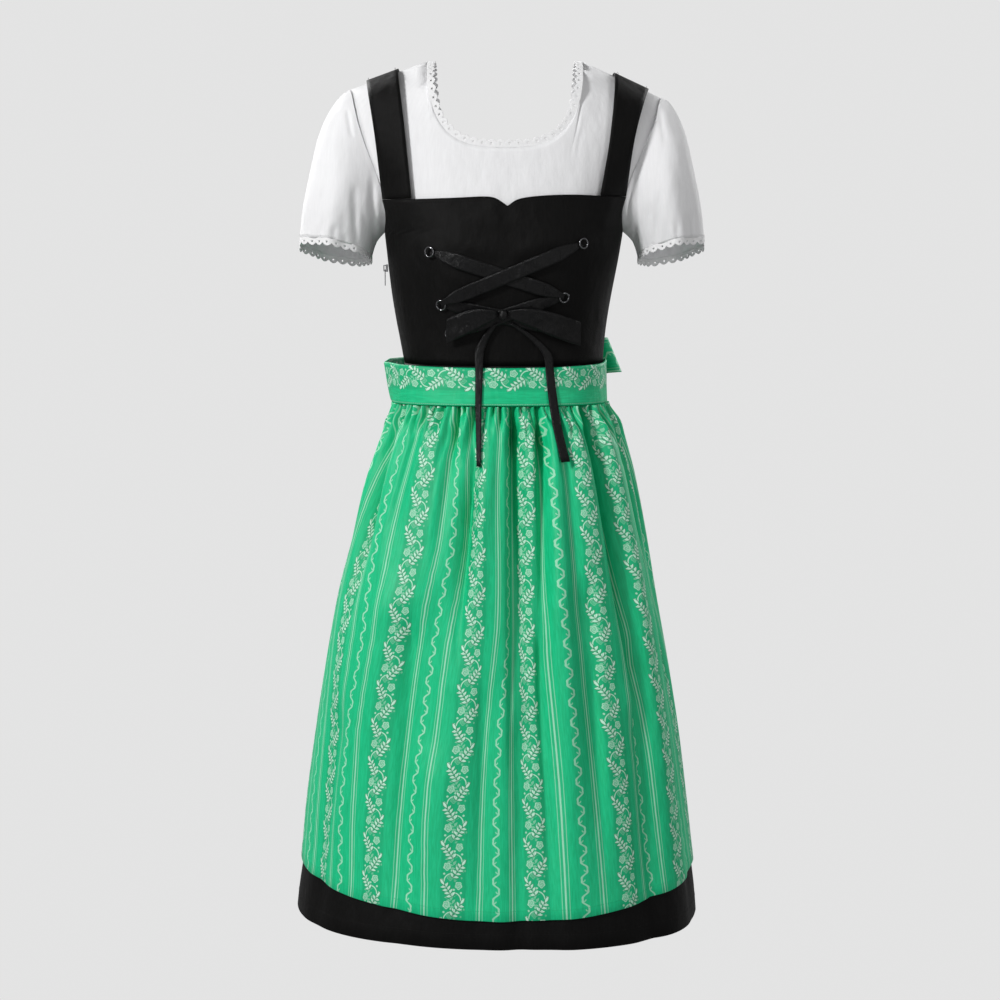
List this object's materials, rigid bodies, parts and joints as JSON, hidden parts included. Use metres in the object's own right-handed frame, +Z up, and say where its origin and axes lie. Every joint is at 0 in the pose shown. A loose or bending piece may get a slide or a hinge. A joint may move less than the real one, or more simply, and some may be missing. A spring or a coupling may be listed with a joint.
{
  "type": "dirndl dress",
  "caption": "Dirndl filled out as worn: white puff-sleeved blouse, laced black pinafore with a gathered skirt, and a green printed apron tied in a bow behind.",
  "frame": {"origin": "midway between the wearer's shoulders, at the height where they hold the garment up", "axes": "+Z up, the front faces -Y, +X is the wearer's left"},
  "size_m": [0.511, 0.3854, 1.0611],
  "materials": {
    "white_cotton": "matt woven cotton",
    "white_lace": "eyelet lace",
    "black_satin_cotton": "slightly glossy satin weave",
    "green_print": "printed cotton with a soft sheen",
    "black_satin_ribbon": "glossy satin",
    "gunmetal": "dark polished metal",
    "zip_teeth": "black nylon teeth",
    "zip_metal": "plain metal"
  },
  "bodies": {
    "garment": {"blouse_front": "white_cotton", "blouse_back": "white_cotton", "sleeve_left": "white_cotton", "sleeve_right": "white_cotton", "neck_lace": "white_lace", "cuff_lace_left": "white_lace", "cuff_lace_right": "white_lace", "bodice_front": "black_satin_cotton", "bodice_back": "black_satin_cotton", "strap_left": "black_satin_cotton", "strap_right": "black_satin_cotton", "skirt_front": "black_satin_cotton", "skirt_back": "black_satin_cotton", "apron_skirt": "green_print", "apron_band": "green_print", "tie_left": "green_print", "tie_right": "green_print", "bow_knot": "green_print", "bow_loop_left": "green_print", "bow_loop_right": "green_print", "bow_tail_left": "green_print", "bow_tail_right": "green_print", "lacing_upper_under": "black_satin_ribbon", "lacing_upper_over": "black_satin_ribbon", "lacing_lower_under": "black_satin_ribbon", "lacing_lower_over": "black_satin_ribbon", "front_bow_knot": "black_satin_ribbon", "front_bow_loop_left": "black_satin_ribbon", "front_bow_loop_right": "black_satin_ribbon", "front_bow_tail_left": "black_satin_ribbon", "front_bow_tail_right": "black_satin_ribbon", "ring_1_left": "gunmetal", "ring_1_right": "gunmetal", "ring_2_left": "gunmetal", "ring_2_right": "gunmetal", "ring_3_left": "gunmetal", "ring_3_right": "gunmetal", "zip_teeth": "zip_teeth", "zip_slider": "zip_metal"},
    "pull_tab": {"zip_pull_tab": "zip_metal"}
  },
  "joints": [
    {"name": "pull_tab_swing", "type": "hinge", "parent": "garment", "child": "pull_tab", "pos_m": [-0.14788, 0, -0.25295], "axis": [0, 1, 0], "range_deg": [-8, 108]}
  ]
}
